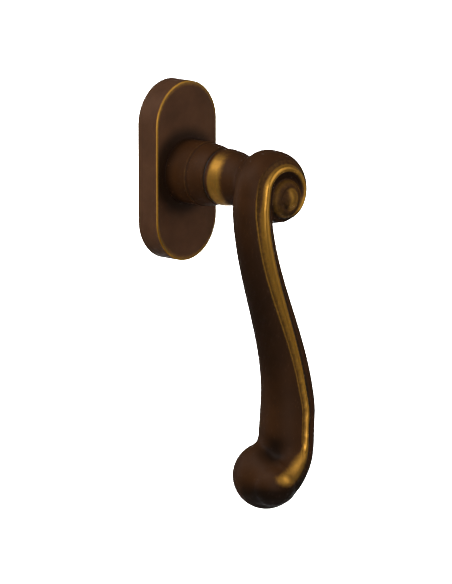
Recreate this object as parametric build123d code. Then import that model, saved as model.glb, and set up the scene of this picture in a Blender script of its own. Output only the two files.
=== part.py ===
from build123d import *
from math import cos, pi, radians, sin, sqrt
import os

# Window handle: an obround rose with a fixed collar, and a cast scroll lever on a square spindle.
# Frame, in millimetres: the origin is on the spindle's axis at the back of the base plate, the wall
# plane is y = 0, the front of the handle faces -Y, +Z is up and the lever hangs down.
# "Out" below is the distance in front of the wall plane, so a place at out = 10 has y = -10.

# ---- rose ----
ROSE_HEIGHT = 70.0
ROSE_WIDTH = 33.3
ROSE_DEPTH = 10.1
ROSE_WALL = 1.8
ROSE_EDGE = 0.7                 # rounding of the front edge
ROSE_GAP = 0.3                  # between the cover and the plate inside it
HUB_CLEARANCE = 0.1             # of the hub in the cover's hole

# ---- base plate and its fixings ----
PLATE_LIP = 0.1                 # the plate's front stops this far behind the inside of the cover
HUB_RADIUS = 10.0
HUB_OUT = 17.0                  # front end of the hub
SCREW_SPACING = 43.0
SCREW_RADIUS = 2.45             # over the threads, beyond the plain shank
SCREW_SHANK_RADIUS = 2.2        # reduced shank
SCREW_CLEARANCE = 0.15
SHANK_PAST_LUG = 0.6
SCREW_HEAD_RADIUS = 4.6
SCREW_HEAD_HEIGHT = 2.6
SCREW_BEHIND = 12.4             # length behind the wall plane
SCREW_SLOT_WIDTH = 1.2
SCREW_SLOT_DEPTH = 1.2
HEAD_RECESS = 0.3               # screw head below the plate's front
LUG_RADIUS = 5.0
LUG_LENGTH = 8.0

# ---- detent mechanism, in a pocket at the back of the plate ----
POCKET_WIDTH = 20.6
POCKET_HEIGHT = 29.0
POCKET_DEPTH = 6.2
MECHANISM_PLATE = 1.0
MECHANISM_SIDE_RIM = 3.0        # the mechanism plate reaches past the pocket by these rims
MECHANISM_END_RIM = 1.4
RIVET_RADIUS = 1.0
RIVET_LENGTH = 5.0
RIVET_RISE = 10.5               # the rivets' height above and below the spindle
CAM_FLATS = 15.0
CAM_CORNERS = 18.6
CAM_THICKNESS = 2.4
CAM_GAP = 0.3                   # behind the cam
CAM_FRONT_GAP = 0.15
SPRING_THICKNESS = 0.8
SPRING_WIDTH = 2.2
SPRING_TO_CAM = 0.05
SPRING_END_GAP = 0.2
PAD_HEIGHT = 3.0                # pads that back the springs' ends

# ---- journal and spindle ----
JOURNAL_RADIUS = 6.5
JOURNAL_CLEARANCE = 0.05
BUSH_WALL = 1.5
SEAT_CLEARANCE = 0.02           # pressed or cemented seats, drawn just clear
TENON_SQUARE = 9.6
RING_THICKNESS = 0.8
RING_GAP = 0.1                  # in front of the ring
RING_RADIUS = 8.0
GROOVE_DEPTH = 0.7
THRUST_THICKNESS = 0.6
THRUST_RADIUS = 9.0
SPINDLE_SQUARE = 7.0
SPINDLE_CLEARANCE = 0.05
SPINDLE_BEHIND = 12.0           # length behind the wall plane
SOCKET_OUT = 36.0               # bottom of the square socket in the lever
PIN_RADIUS = 1.25
PIN_OUT = 22.0
PIN_SHORT = 0.4                 # the pin stops short of the journal's surface

# ---- collar, washer and the lever's bead and waist ----
COLLAR_RADIUS = 12.4
COLLAR_STEP_OUT = 20.6
COLLAR_STEP = 0.7
COLLAR_NOSE_RADIUS = 10.7
COLLAR_OUT = 28.6
GLIDE_THICKNESS = 0.6
GLIDE_RADIUS = 10.4
GLIDE_GAP = 0.1
BEAD_RADIUS = 11.1
BEAD_LENGTH = 10.5
WAIST_RADIUS = 9.0

# ---- lever: the head ----
HEAD_BACK_OUT = 46.3
HEAD_FRONT_OUT = 60.5
EYE_X, EYE_Z = 3.3, -5.5        # centre of the volute's eye
EYE_RADIUS = 6.2
EYE_TIP = 3.4                   # radius of the boss at the eye's middle
EYE_RISE = 1.6                  # the eye stands this far in front of the volute
EYE_RINGS = 3
FLOOR_DEPTH = 3.2               # floor of the volute behind its front
CORE_RADIUS = 9.6               # disc behind the floor
CORE_FRONT = 9.1                # its radius at the floor
HEAD_FULLNESS = 0.14            # extra roundness of the head's back, at its top
HEAD_FULL_TURN = 90             # and the degrees of the turn over which it comes and goes
SPIRAL_OUTER = 12.9             # the crown's distance from the eye, at the start of the turn
SPIRAL_INNER = 5.6              # and where it has closed on the eye
SPIRAL_START, SPIRAL_CLOSED, SPIRAL_END = 150, -57, -103    # angles of the turn
SPIRAL_STEP = 23
SPIRAL_POWER = 1.6              # the turn closes slowly at first
SPIRAL_THIN = 1.0               # and the bar thins almost evenly along it

# ---- lever: the bar ----
BAR_TOP = 7.3                   # half-width where it leaves the volute
BAR_TAIL = 10.6                 # half-width where it meets the tail
BAR_INNER = 2.8                 # half-width where the turn has closed
MIDDLE_BACK = 0.5               # its middle behind the middle of the head
BAR_POWER = 2.2                 # the shaft thickens mostly near its foot
SHAFT_LEFT, SHAFT_RIGHT = 8.7, 11.4     # how far its centre line swings to either side
SHAFT_TOP = 5.0                 # the swing starts this far below the spindle
SHAFT_DROP = 85.0               # height of the swing
SHAFT_FIRST, SHAFT_LAST = 0.035, 0.975  # shares of the drop between which it is straight-lofted
SHAFT_SECTIONS = 8
RIB_HALF = 4.2                  # from the crown of the front rib to its shoulder
RIB_CROWN = 1.7                 # half-width of the rib's bead
BEAD_HEIGHT = 0.7               # of the rib's bead, against its half-width
COVE_DEPTH = 0.5

# ---- lever: the tail ----
NOTCH_X, NOTCH_Z = -0.6, -102.0  # the tail rolls up about this point
NOTCH_GAP = 0.4                 # from that point to the bar
TAIL_SWELL = 0.5                # the rolled part is this much wider than the shaft
TAIL_ROUND, TAIL_END = 46, 69   # angles where it starts to shrink, and where it is hidden
TAIL_STEP = 23
TAIL_TAPER = 0.12               # and by what share
BALL_X, BALL_OUT, BALL_Z = 3.5, 49.3, -114.0
BALL_RADIUS = 13.0
LOBE_X, LOBE_OUT, LOBE_Z = -1.7, 58.6, -115.6
LOBE_RADIUS = 8.5
HOLLOW_X, HOLLOW_OUT, HOLLOW_Z = -2.0, 57.9, -102.5
HOLLOW_RADIUS = 5.0

# ---- lever: the neck ----
BEAD_ROLL = 0.9
WAIST_OUT = 42.8
FLARE_RADIUS = 10.9             # where the neck meets the back of the head
FLARE_ROLL = 0.7
FLARE_OUT = 48.8

PLATE_FRONT = ROSE_DEPTH - ROSE_WALL - PLATE_LIP
BUSH_RADIUS = JOURNAL_RADIUS + JOURNAL_CLEARANCE + BUSH_WALL
BEAD_BACK = COLLAR_OUT + GLIDE_THICKNESS + GLIDE_GAP
JOURNAL_BACK = MECHANISM_PLATE + CAM_GAP + CAM_THICKNESS + CAM_FRONT_GAP
THRUST_BACK = POCKET_DEPTH - THRUST_THICKNESS
RING_BACK = THRUST_BACK - RING_GAP - RING_THICKNESS
SCREW_FRONT = PLATE_FRONT - HEAD_RECESS
BAR_MIDDLE = (HEAD_BACK_OUT + HEAD_FRONT_OUT) / 2 - MIDDLE_BACK
VOLUTE_FLOOR = HEAD_FRONT_OUT - FLOOR_DEPTH


def at(out, x=0.0, z=0.0):
    """Plane across the spindle's axis at this distance in front of the wall, looking outwards."""
    return Plane(origin=(x, -out, z), x_dir=(1, 0, 0), z_dir=(0, -1, 0))


def prism(sketch, start, end, x=0.0, z=0.0):
    """Carry a sketch from one distance in front of the wall to another."""
    return extrude(at(start, x, z) * sketch, end - start)


def disc(radius, start, end, x=0.0, z=0.0):
    return prism(Circle(radius), start, end, x, z)


def ring(outer, inner, start, end):
    return prism(Circle(outer) - Circle(inner), start, end)


def turned(edges, x=0.0, z=0.0):
    """Revolve a closed outline of (radius, out) about the spindle's direction through x, z."""
    plane = Plane(origin=(x, 0, z), x_dir=(1, 0, 0), z_dir=(0, 0, 1))
    outline = plane * make_face(edges)
    return revolve(outline, Axis((x, 0, z), (0, -1, 0)))


def p(radius, out):
    """A point of a turned outline."""
    return (radius, -out)


# ---------------------------------------------------------------- rose and its fixings

def obround(width, height):
    return SlotOverall(height, width, rotation=90)


def screw_places():
    return [SCREW_SPACING / 2, -SCREW_SPACING / 2]


def rosette_cover():
    """Cast cap: an obround shell with a softened front edge and a hole for the hub."""
    cap = prism(obround(ROSE_WIDTH, ROSE_HEIGHT), 0, ROSE_DEPTH)
    front = cap.faces().sort_by(Axis.Y)[0]
    cap = fillet(front.edges(), ROSE_EDGE)
    inside = obround(ROSE_WIDTH - 2 * ROSE_WALL, ROSE_HEIGHT - 2 * ROSE_WALL)
    cap -= prism(inside, 0, ROSE_DEPTH - ROSE_WALL)
    return cap - disc(HUB_RADIUS + HUB_CLEARANCE, 0, ROSE_DEPTH)


def base_plate():
    """Die-cast plate with a hub in front, a detent pocket behind, screw seats and hollow lugs."""
    slack = 2 * (ROSE_WALL + ROSE_GAP)
    plate = prism(obround(ROSE_WIDTH - slack, ROSE_HEIGHT - slack), 0, PLATE_FRONT)
    plate += disc(HUB_RADIUS, PLATE_FRONT, HUB_OUT)
    for z in screw_places():
        plate += disc(LUG_RADIUS, -LUG_LENGTH, 0, z=z)
    plate -= disc(BUSH_RADIUS + SEAT_CLEARANCE, 0, HUB_OUT)
    plate -= prism(Rectangle(POCKET_WIDTH, POCKET_HEIGHT), 0, POCKET_DEPTH)
    plate -= prism(mechanism_outline(SEAT_CLEARANCE), 0, MECHANISM_PLATE)
    for x in (-1, 1):
        for z in (-1, 1):
            plate += prism(spring_pad(x, z), MECHANISM_PLATE, POCKET_DEPTH)
    for x, z in rivet_places():
        plate -= disc(RIVET_RADIUS + SEAT_CLEARANCE, 0, RIVET_LENGTH, x, z)
    for z in screw_places():
        plate -= disc(SCREW_RADIUS + SCREW_CLEARANCE, -LUG_LENGTH, PLATE_FRONT, z=z)
        plate -= screw_head(z, SCREW_CLEARANCE, PLATE_FRONT)
    return plate


def mechanism_outline(growth=0.0):
    width = POCKET_WIDTH + 2 * (MECHANISM_SIDE_RIM + growth)
    height = POCKET_HEIGHT + 2 * (MECHANISM_END_RIM + growth)
    return Rectangle(width, height)


def rivet_places():
    x = POCKET_WIDTH / 2 + MECHANISM_SIDE_RIM / 2
    return [(i * x, j * RIVET_RISE) for i in (-1, 1) for j in (-1, 1)]


def spring_pad(side, end):
    """Pad beside one end of a leaf spring, from the pocket's wall to the spring's back."""
    back = CAM_FLATS / 2 + 2 * SPRING_TO_CAM + SPRING_THICKNESS
    width = POCKET_WIDTH / 2 - back
    place = (side * (back + width / 2), end * (POCKET_HEIGHT - PAD_HEIGHT) / 2)
    return Pos(*place) * Rectangle(width, PAD_HEIGHT)


def mechanism_plate():
    """Pressed steel plate that closes the detent's pocket, with a hole for the spindle."""
    plate = prism(mechanism_outline(), 0, MECHANISM_PLATE)
    plate -= disc(JOURNAL_RADIUS, 0, MECHANISM_PLATE)
    for x, z in rivet_places():
        plate -= disc(RIVET_RADIUS + SEAT_CLEARANCE, 0, MECHANISM_PLATE, x, z)
    return plate


def plate_rivets():
    return Compound([disc(RIVET_RADIUS, 0, RIVET_LENGTH, x, z) for x, z in rivet_places()])


def screw_head(z, growth=0.0, front=SCREW_FRONT):
    """Countersunk head, widest at its front."""
    edges = Polyline(
        p(0, SCREW_FRONT - SCREW_HEAD_HEIGHT),
        p(SCREW_RADIUS + growth, SCREW_FRONT - SCREW_HEAD_HEIGHT),
        p(SCREW_HEAD_RADIUS + growth, SCREW_FRONT - SCREW_SLOT_DEPTH / 2),
        p(SCREW_HEAD_RADIUS + growth, front),
        p(0, front),
        close=True,
    )
    return turned(edges, z=z)


def fixing_screws():
    """Two slotted countersunk machine screws, plain down to the lugs' ends and threaded beyond."""
    shank_end = -LUG_LENGTH - SHANK_PAST_LUG
    slot = Rectangle(2 * SCREW_HEAD_RADIUS, SCREW_SLOT_WIDTH)
    screws = []
    for z in screw_places():
        screw = disc(SCREW_SHANK_RADIUS, shank_end, SCREW_FRONT, z=z) + screw_head(z)
        screw += disc(SCREW_RADIUS, -SCREW_BEHIND, shank_end, z=z)
        screws.append(screw - prism(slot, SCREW_FRONT - SCREW_SLOT_DEPTH, SCREW_FRONT, z=z))
    return Compound(screws)


def collar():
    """Turned collar: a plain drum, a fine step and a nose that narrows to the joint."""
    rise = COLLAR_STEP_OUT + COLLAR_STEP
    drum = COLLAR_RADIUS - COLLAR_STEP / 2
    outline = [
        Line(p(0, ROSE_DEPTH), p(COLLAR_RADIUS, ROSE_DEPTH)),
        Line(p(COLLAR_RADIUS, ROSE_DEPTH), p(COLLAR_RADIUS, COLLAR_STEP_OUT - COLLAR_STEP)),
        ThreePointArc(
            p(COLLAR_RADIUS, COLLAR_STEP_OUT - COLLAR_STEP),
            p(COLLAR_RADIUS - COLLAR_STEP / 2, COLLAR_STEP_OUT),
            p(drum, rise - COLLAR_STEP / 2),
        ),
        Line(p(drum, rise - COLLAR_STEP / 2), p(drum, rise)),
        ThreePointArc(
            p(drum, rise),
            p((drum + COLLAR_NOSE_RADIUS) / 2 + COLLAR_STEP / 4, (rise + COLLAR_OUT) / 2),
            p(COLLAR_NOSE_RADIUS, COLLAR_OUT),
        ),
        Line(p(COLLAR_NOSE_RADIUS, COLLAR_OUT), p(0, COLLAR_OUT)),
        Line(p(0, COLLAR_OUT), p(0, ROSE_DEPTH)),
    ]
    body = turned(outline)
    body -= disc(HUB_RADIUS + SEAT_CLEARANCE, ROSE_DEPTH, HUB_OUT)
    return body - disc(BUSH_RADIUS + SEAT_CLEARANCE, ROSE_DEPTH, COLLAR_OUT)


# ---------------------------------------------------------------- bearing, detent and spindle

def journal_bush():
    return ring(BUSH_RADIUS, JOURNAL_RADIUS + JOURNAL_CLEARANCE, POCKET_DEPTH, COLLAR_OUT)


def glide_washer():
    bore = JOURNAL_RADIUS + JOURNAL_CLEARANCE
    return ring(GLIDE_RADIUS, bore, COLLAR_OUT, COLLAR_OUT + GLIDE_THICKNESS)


def thrust_washer():
    bore = JOURNAL_RADIUS + JOURNAL_CLEARANCE
    return ring(THRUST_RADIUS, bore, THRUST_BACK, POCKET_DEPTH)


def retaining_ring():
    """Open spring ring in the journal's groove."""
    bore = JOURNAL_RADIUS - GROOVE_DEPTH + SEAT_CLEARANCE
    body = ring(RING_RADIUS, bore, RING_BACK, RING_BACK + RING_THICKNESS)
    gap = Pos(0, -RING_RADIUS) * Rectangle(RING_RADIUS / 2, 2 * RING_RADIUS - bore)
    return body - prism(gap, RING_BACK, RING_BACK + RING_THICKNESS)


def detent_cam():
    """Square cam with rounded corners, keyed on the journal's tenon."""
    start = MECHANISM_PLATE + CAM_GAP
    outline = Rectangle(CAM_FLATS, CAM_FLATS) & Circle(CAM_CORNERS / 2)
    hole = TENON_SQUARE + 2 * SPINDLE_CLEARANCE
    return prism(outline - Rectangle(hole, hole), start, start + CAM_THICKNESS)


def detent_springs():
    """Leaf springs on both sides of the cam, held at their ends in the plate's pocket."""
    middle = MECHANISM_PLATE + CAM_GAP + CAM_THICKNESS / 2
    x = CAM_FLATS / 2 + SPRING_TO_CAM + SPRING_THICKNESS / 2
    leaf = Rectangle(SPRING_THICKNESS, POCKET_HEIGHT - 2 * SPRING_END_GAP)
    start, end = middle - SPRING_WIDTH / 2, middle + SPRING_WIDTH / 2
    return Compound([prism(leaf, start, end, x=side * x) for side in (-1, 1)])


def spindle():
    bar = Rectangle(SPINDLE_SQUARE, SPINDLE_SQUARE)
    body = prism(bar, -SPINDLE_BEHIND, SOCKET_OUT - SPINDLE_CLEARANCE)
    return body - pin_bore()


def pin_bore():
    radius = PIN_RADIUS + SEAT_CLEARANCE
    return Pos(0, -PIN_OUT, 0) * Cylinder(radius, 2 * JOURNAL_RADIUS)


def spindle_pin():
    return Pos(0, -PIN_OUT, 0) * Cylinder(PIN_RADIUS, 2 * JOURNAL_RADIUS - PIN_SHORT)


# ---------------------------------------------------------------- scroll lever

def spiral_section(angle):
    """Section of the bar where it winds about the eye; past the closed turn it sinks away."""
    turn = min((SPIRAL_START - angle) / (SPIRAL_START - SPIRAL_CLOSED), 1.0)
    sunk = max((SPIRAL_CLOSED - angle) / (SPIRAL_CLOSED - SPIRAL_END), 0.0)
    radius = SPIRAL_OUTER - (SPIRAL_OUTER - SPIRAL_INNER) * turn ** SPIRAL_POWER
    a = radians(angle)
    centre = (EYE_X + radius * cos(a), EYE_Z + radius * sin(a))
    half = BAR_TOP - (BAR_TOP - BAR_INNER) * turn ** SPIRAL_THIN
    front = HEAD_FRONT_OUT - FLOOR_DEPTH * sunk
    fuller = HEAD_FULLNESS * sin(pi * min((SPIRAL_START - angle) / HEAD_FULL_TURN, 1.0))
    return bar_section(centre, (-sin(a), cos(a)), half, front, HEAD_BACK_OUT, fuller)


def shaft_section(share):
    """Section of the bar down the shaft: an even S that thickens towards its foot."""
    swing = (SHAFT_RIGHT + SHAFT_LEFT) / 2
    x = (SHAFT_RIGHT - SHAFT_LEFT) / 2 - swing * cos(share * pi)
    slope = swing * pi * sin(share * pi) / SHAFT_DROP
    length = sqrt(1 + slope ** 2)
    half = BAR_TOP + (BAR_TAIL - BAR_TOP) * share ** BAR_POWER
    centre = (x, -SHAFT_TOP - share * SHAFT_DROP)
    return bar_section(centre, (slope / length, -1 / length), half, BAR_MIDDLE + half, BAR_MIDDLE - half)


def tail_section(angle):
    """Section of the bar where it rolls under about the notch; the last ones shrink into the lobe."""
    a = radians(angle)
    turned_in = max(angle - TAIL_ROUND, 0) / (TAIL_END - TAIL_ROUND)
    outline = 2 * BAR_TAIL + TAIL_SWELL * min(angle / TAIL_ROUND, 1.0)
    half = outline / 2 * (1 - TAIL_TAPER * turned_in)
    reach = outline - half + NOTCH_GAP
    centre = (NOTCH_X + reach * cos(a), NOTCH_Z - reach * sin(a))
    return bar_section(centre, (-sin(a), -cos(a)), half, BAR_MIDDLE + half, BAR_MIDDLE - half)


def bar_section(centre, direction, half, front, back, fuller=0.0):
    """Section of the bar: an ellipse whose front carries a bead between two coves."""
    across = (-direction[1], 0, direction[0])
    plane = Plane((centre[0], -front, centre[1]), x_dir=across, z_dir=(direction[0], 0, direction[1]))
    fit, deep = min(1.0, half / BAR_TOP), (front - back) / 2
    shoulder, crown = RIB_HALF * fit, RIB_CROWN * fit
    rise = sqrt(1 - (shoulder / half) ** 2)
    foot, drop = -BEAD_HEIGHT * crown, -deep * (1 - rise)
    between = ((shoulder + crown) / 2, (foot + drop) / 2 - COVE_DEPTH * fit)
    corner = sqrt(0.5) + fuller
    side = [(shoulder, drop), (half, -deep), (half * corner, -deep * (1 + corner)), (0, -2 * deep)]
    lean = (half * rise, -deep * shoulder / half)
    other = [(-x, y) for x, y in reversed(side)]
    edges = [
        ThreePointArc((-shoulder, drop), (-between[0], between[1]), (-crown, foot)),
        ThreePointArc((-crown, foot), (0, 0), (crown, foot)),
        ThreePointArc((crown, foot), between, (shoulder, drop)),
        Spline(*side, tangents=[lean, (-1, 0)]),
        Spline(*other, tangents=[(-1, 0), (lean[0], -lean[1])]),
    ]
    return plane * Wire(edges)


def bar():
    """The whole bar, from the volute's inner end to the tail, lofted through its sections."""
    sections = [spiral_section(a) for a in range(SPIRAL_END, SPIRAL_START + 1, SPIRAL_STEP)]
    for step in range(SHAFT_SECTIONS):
        share = SHAFT_FIRST + (SHAFT_LAST - SHAFT_FIRST) * step / (SHAFT_SECTIONS - 1)
        sections.append(shaft_section(share))
    for angle in range(0, TAIL_END + 1, TAIL_STEP):
        sections.append(tail_section(angle))
    return Solid.make_loft(sections)


def neck():
    """Turned neck behind the volute: a bead, a waist, and a flare that runs into the head."""
    outline = [
        Line(p(0, BEAD_BACK), p(BEAD_RADIUS - BEAD_ROLL, BEAD_BACK)),
        Spline(
            p(BEAD_RADIUS - BEAD_ROLL, BEAD_BACK),
            p(BEAD_RADIUS, BEAD_BACK + BEAD_LENGTH / 4),
            p(WAIST_RADIUS + BEAD_ROLL / 2, BEAD_BACK + BEAD_LENGTH),
            p(WAIST_RADIUS, WAIST_OUT),
            p(FLARE_RADIUS, HEAD_BACK_OUT),
            p(FLARE_RADIUS + FLARE_ROLL, FLARE_OUT),
        ),
        Line(p(FLARE_RADIUS + FLARE_ROLL, FLARE_OUT), p(0, FLARE_OUT)),
        Line(p(0, FLARE_OUT), p(0, BEAD_BACK)),
    ]
    return turned(outline)


def volute_core():
    """The disc that the bar winds around, with a rounded back edge and a sunk front floor."""
    outline = [
        Line(p(0, HEAD_BACK_OUT), p(CORE_RADIUS / 2, HEAD_BACK_OUT)),
        Spline(
            p(CORE_RADIUS / 2, HEAD_BACK_OUT),
            p(CORE_RADIUS, (HEAD_BACK_OUT + VOLUTE_FLOOR) / 2),
            p(CORE_FRONT, VOLUTE_FLOOR),
            tangents=[(1, 0), (-0.5, -1)],
        ),
        Line(p(CORE_FRONT, VOLUTE_FLOOR), p(0, VOLUTE_FLOOR)),
        Line(p(0, VOLUTE_FLOOR), p(0, HEAD_BACK_OUT)),
    ]
    return turned(outline, EYE_X, EYE_Z)


def eye():
    """Stepped eye of the volute: rounded rings that rise to a small dome."""
    step = (FLOOR_DEPTH + EYE_RISE) / EYE_RINGS
    width = (EYE_RADIUS - EYE_TIP) / (EYE_RINGS - 1)
    edges = [Line(p(0, VOLUTE_FLOOR - step), p(EYE_RADIUS, VOLUTE_FLOOR - step))]
    edges.append(Line(p(EYE_RADIUS, VOLUTE_FLOOR - step), p(EYE_RADIUS, VOLUTE_FLOOR)))
    for ring_number in range(EYE_RINGS):
        outer = EYE_RADIUS - ring_number * width
        inner = outer - width if ring_number < EYE_RINGS - 1 else 0
        out = VOLUTE_FLOOR + ring_number * step
        ends = [p(outer, out), p(inner, out + step)]
        edges.append(Spline(*ends, tangents=[(0, -1), (-1, 0)]))
    edges.append(Line(p(0, VOLUTE_FLOOR + EYE_RINGS * step), p(0, VOLUTE_FLOOR - step)))
    return turned(edges, EYE_X, EYE_Z)


def tail():
    """Ball that ends the bar, and the rolled lobe in front of it."""
    ball = Pos(BALL_X, -BALL_OUT, BALL_Z) * Sphere(BALL_RADIUS)
    lobe = Pos(LOBE_X, -LOBE_OUT, LOBE_Z) * Sphere(LOBE_RADIUS)
    return ball + lobe


def hollow():
    """Soft hollow between the shaft and the ball, above the rolled lobe."""
    return Pos(HOLLOW_X, -HOLLOW_OUT, HOLLOW_Z) * Sphere(HOLLOW_RADIUS)


def journal():
    """Journal behind the bead, with the groove for the retaining ring and the cam's tenon."""
    body = disc(JOURNAL_RADIUS, JOURNAL_BACK, BEAD_BACK)
    body -= ring(
        JOURNAL_RADIUS * 2,
        JOURNAL_RADIUS - GROOVE_DEPTH,
        RING_BACK - JOURNAL_CLEARANCE,
        RING_BACK + RING_THICKNESS + JOURNAL_CLEARANCE,
    )
    tenon = Rectangle(TENON_SQUARE, TENON_SQUARE) & Circle(JOURNAL_RADIUS)
    return body + prism(tenon, MECHANISM_PLATE + CAM_GAP, JOURNAL_BACK)


def lever():
    """The lever as cast and machined, with the square socket for the spindle."""
    side = SPINDLE_SQUARE + 2 * SPINDLE_CLEARANCE
    root = volute_core() + eye() + neck() + journal()
    root -= prism(Rectangle(side, side), 0, SOCKET_OUT)
    root -= pin_bore()
    return bar() + tail() - hollow() + root


PIECES = [
    rosette_cover,
    collar,
    glide_washer,
    lever,
    base_plate,
    journal_bush,
    thrust_washer,
    retaining_ring,
    detent_cam,
    detent_springs,
    mechanism_plate,
    plate_rivets,
    spindle,
    spindle_pin,
    fixing_screws,
]


def main():
    os.makedirs("parts", exist_ok=True)
    for piece in PIECES:
        export_step(piece(), f"parts/{piece.__name__}.step")


if __name__ == "__main__":
    main()
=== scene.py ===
import math

import bpy
import numpy as np
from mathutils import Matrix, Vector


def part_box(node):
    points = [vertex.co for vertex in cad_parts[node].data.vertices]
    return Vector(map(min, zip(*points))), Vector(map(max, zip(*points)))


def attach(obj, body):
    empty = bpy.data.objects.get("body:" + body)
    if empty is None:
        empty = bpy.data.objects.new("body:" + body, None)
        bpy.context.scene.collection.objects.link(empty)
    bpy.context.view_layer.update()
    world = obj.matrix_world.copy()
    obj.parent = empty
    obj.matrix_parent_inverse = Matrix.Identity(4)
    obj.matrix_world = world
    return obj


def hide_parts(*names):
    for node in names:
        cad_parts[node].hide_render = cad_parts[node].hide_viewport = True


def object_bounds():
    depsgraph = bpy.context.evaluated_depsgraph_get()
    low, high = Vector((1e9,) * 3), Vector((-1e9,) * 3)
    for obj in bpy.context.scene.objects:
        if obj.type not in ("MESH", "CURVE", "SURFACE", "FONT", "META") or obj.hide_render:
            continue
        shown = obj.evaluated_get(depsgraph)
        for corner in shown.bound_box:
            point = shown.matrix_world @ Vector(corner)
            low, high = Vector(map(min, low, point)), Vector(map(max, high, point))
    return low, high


bl_info = {
    "name": "Scroll Window Handle",
    "version": (1, 0, 0),
    "blender": (4, 5, 0),
    "location": "View3D > Sidebar > Handle",
    "description": "Dresses the window handle's frame: cast scroll lever, collar, rose and fittings",
    "category": "Object",
}

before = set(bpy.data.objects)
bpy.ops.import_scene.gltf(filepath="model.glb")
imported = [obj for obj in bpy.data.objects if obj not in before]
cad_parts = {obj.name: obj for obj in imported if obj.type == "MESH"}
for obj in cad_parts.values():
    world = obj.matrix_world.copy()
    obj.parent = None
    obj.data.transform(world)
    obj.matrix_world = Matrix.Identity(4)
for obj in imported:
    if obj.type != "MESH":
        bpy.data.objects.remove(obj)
CAD_BOX = [list(corner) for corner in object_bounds()]
MM = 0.001


# ---------------- sizes read from the frame

def box_mm(node):
    """Lowest and highest corner of a CAD node in millimetres, as across, out from the wall and up."""
    low, high = (np.array(corner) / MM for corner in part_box(node))
    return (low[0], -high[1], low[2]), (high[0], -low[1], high[2])


ROSE_HIGH = box_mm("rosette_cover")[1]
COLLAR_LOW, COLLAR_HIGH = box_mm("collar")
GLIDE_HIGH = box_mm("glide_washer")[1]
CAM_LOW, CAM_HIGH = box_mm("detent_cam")
RING_LOW, RING_HIGH = box_mm("retaining_ring")


# ---------------- what a user would change

class RoseSettings(bpy.types.PropertyGroup):
    """Sizes of the rose's cast cap"""

    wall: bpy.props.FloatProperty(
        name="Wall", description="Thickness of the cast cap", default=1.8 * MM, unit="LENGTH"
    )
    edge: bpy.props.FloatProperty(
        name="Edge", description="Rounding of the front edge", default=0.7 * MM, unit="LENGTH"
    )
    hole: bpy.props.FloatProperty(
        name="Hub hole", description="Radius of the hole for the hub", default=10.1 * MM, unit="LENGTH"
    )


class CollarSettings(bpy.types.PropertyGroup):
    """Sizes of the turned collar"""

    step_out: bpy.props.FloatProperty(
        name="Step", description="Distance of the fine step from the wall", default=20.6 * MM, unit="LENGTH"
    )
    step: bpy.props.FloatProperty(
        name="Step width", description="Width of the fine step", default=0.7 * MM, unit="LENGTH"
    )
    nose: bpy.props.FloatProperty(
        name="Nose", description="Radius where the collar meets the lever", default=10.7 * MM, unit="LENGTH"
    )
    bore: bpy.props.FloatProperty(
        name="Bore", description="Radius of the bore for the bush", default=8.07 * MM, unit="LENGTH"
    )


class LeverSettings(bpy.types.PropertyGroup):
    """Sizes of the lever's bar, rib and skin"""

    top: bpy.props.FloatProperty(
        name="Bar top", description="Half-width of the bar at the volute", default=7.3 * MM, unit="LENGTH"
    )
    foot: bpy.props.FloatProperty(
        name="Bar foot", description="Half-width of the bar at the tail", default=10.6 * MM, unit="LENGTH"
    )
    bead: bpy.props.FloatProperty(
        name="Rib bead", description="Half-width of the front bead at the top", default=1.8 * MM, unit="LENGTH"
    )
    cove: bpy.props.FloatProperty(
        name="Coves", description="Depth of the coves beside the bead", default=1.25 * MM, unit="LENGTH"
    )
    shoulder: bpy.props.FloatProperty(
        name="Cove width", description="From the bead to the shoulder on its left", default=1.5 * MM,
        unit="LENGTH"
    )
    grain: bpy.props.FloatProperty(
        name="Surface grain", description="Spacing of the skin's points", default=0.395 * MM, unit="LENGTH"
    )


class FinishSettings(bpy.types.PropertyGroup):
    """Colours of the aged brass, and its wear"""

    patina: bpy.props.StringProperty(
        name="Patina", description="Brown of the oxidised brass, as sRGB hex", default="#482a11"
    )
    rose_patina: bpy.props.StringProperty(
        name="Rose patina", description="Redder, lighter brown of the rose", default="#60402a"
    )
    # The deepest brown is also the colour of the painted shade in hollows, under the lever and round the
    # collar.
    deep_patina_and_shade: bpy.props.StringProperty(
        name="Deep patina", description="Darkest brown, in coves and creases", default="#160a03"
    )
    worn: bpy.props.StringProperty(
        name="Worn brass", description="Gold where hands have rubbed the patina away", default="#cc953e"
    )
    wear: bpy.props.FloatProperty(
        name="Wear", description="How far the patina has worn from the high places", default=1.0, min=0.0,
        max=1.5, subtype="FACTOR"
    )


class StageSettings(bpy.types.PropertyGroup):
    """Camera and floor"""

    azimuth: bpy.props.FloatProperty(
        name="Azimuth", description="Side from which the camera looks", default=math.radians(-46.4),
        subtype="ANGLE"
    )
    elevation: bpy.props.FloatProperty(
        name="Elevation", description="Camera's height above the horizon", default=math.radians(11.0),
        subtype="ANGLE"
    )
    distance: bpy.props.FloatProperty(
        name="Distance", description="From the camera to the handle", default=2.0, unit="LENGTH"
    )
    lens: bpy.props.FloatProperty(
        name="Lens", description="Focal length in millimetres", default=320.5, subtype="DISTANCE_CAMERA"
    )
    floor_drop: bpy.props.FloatProperty(
        name="Floor", description="Floor's distance below the handle", default=1.0, unit="LENGTH"
    )


# ---------------- meshes from arrays

def place(across, out, up):
    """Points of the frame in metres, from millimetres across, out from the wall and up."""
    return np.stack(np.broadcast_arrays(across, -np.asarray(out), up), axis=-1).reshape(-1, 3) * MM


def grid_faces(rows, columns):
    """Quads between neighbouring rows of a grid whose columns close into rings."""
    row = np.arange(rows - 1)[:, None] * columns
    column = np.arange(columns)[None, :]
    after = (column + 1) % columns
    corners = [row + column, row + after, row + columns + after, row + columns + column]
    return np.stack(np.broadcast_arrays(*corners), axis=-1).reshape(-1, 4).tolist()


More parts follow.
